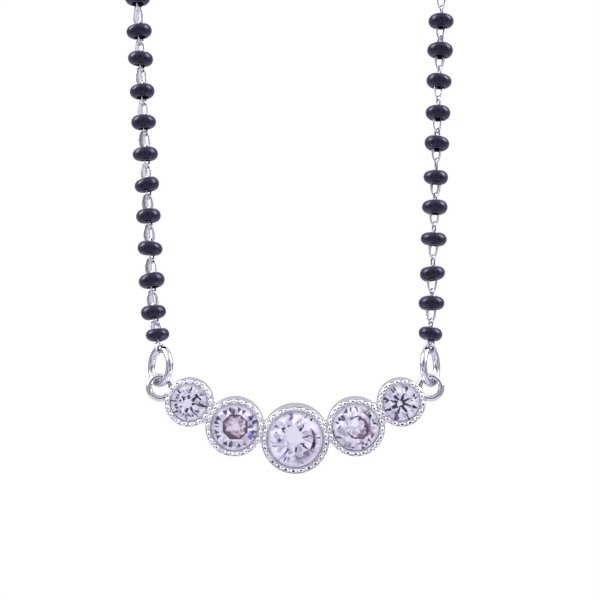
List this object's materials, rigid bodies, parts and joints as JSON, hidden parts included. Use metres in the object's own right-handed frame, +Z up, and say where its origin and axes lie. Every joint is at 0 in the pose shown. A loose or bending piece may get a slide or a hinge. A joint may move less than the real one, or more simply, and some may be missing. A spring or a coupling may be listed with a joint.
{
  "type": "mangalsutra necklace",
  "caption": "Hanging necklace loop of drilled beads on a fine link chain, with jump rings and a curved pendant of graduated round stones in milgrain bezels.",
  "frame": {"origin": "under the clasp, at the top of the loop, where the necklace hangs at the nape", "axes": "+Z up along the hanging loop, -Y towards the stones' face, +X to the viewer's right"},
  "size_m": [0.0479, 0.0045, 0.2086],
  "materials": {
    "silver": "polished silver",
    "clear_stone": "faceted clear stone",
    "rose_stone": "faceted clear stone with a faint rose tint",
    "black_glass": "glossy black glass"
  },
  "bodies": {
    "necklace": {"jump_ring_left": "silver", "jump_ring_right": "silver", "end_link_left": "silver", "end_link_right": "silver", "chain_left": "silver", "chain_right": "silver", "clasp": "silver", "clasp_ring_left": "silver", "clasp_ring_right": "silver", "bead_string_left": "black_glass", "bead_string_right": "black_glass", "bead_left_01": "black_glass", "bead_left_02": "black_glass", "bead_left_03": "black_glass", "bead_left_04": "black_glass", "bead_left_05": "black_glass", "bead_left_06": "black_glass", "bead_left_07": "black_glass", "bead_left_08": "black_glass", "bead_left_09": "black_glass", "bead_left_10": "black_glass", "bead_left_11": "black_glass", "bead_left_12": "black_glass", "bead_right_01": "black_glass", "bead_right_02": "black_glass", "bead_right_03": "black_glass", "bead_right_04": "black_glass", "bead_right_05": "black_glass", "bead_right_06": "black_glass", "bead_right_07": "black_glass", "bead_right_08": "black_glass", "bead_right_09": "black_glass", "bead_right_10": "black_glass", "bead_right_11": "black_glass"},
    "pendant": {"pendant_frame": "silver", "stone_center": "clear_stone", "stone_inner_left": "rose_stone", "stone_inner_right": "rose_stone", "stone_outer_left": "clear_stone", "stone_outer_right": "clear_stone"}
  },
  "joints": [
    {"name": "pendant_swing", "type": "hinge", "parent": "necklace", "child": "pendant", "pos_m": [0.00178, 0, -0.19593], "axis": [1, 0, 0], "range_deg": [-20, 20]}
  ]
}
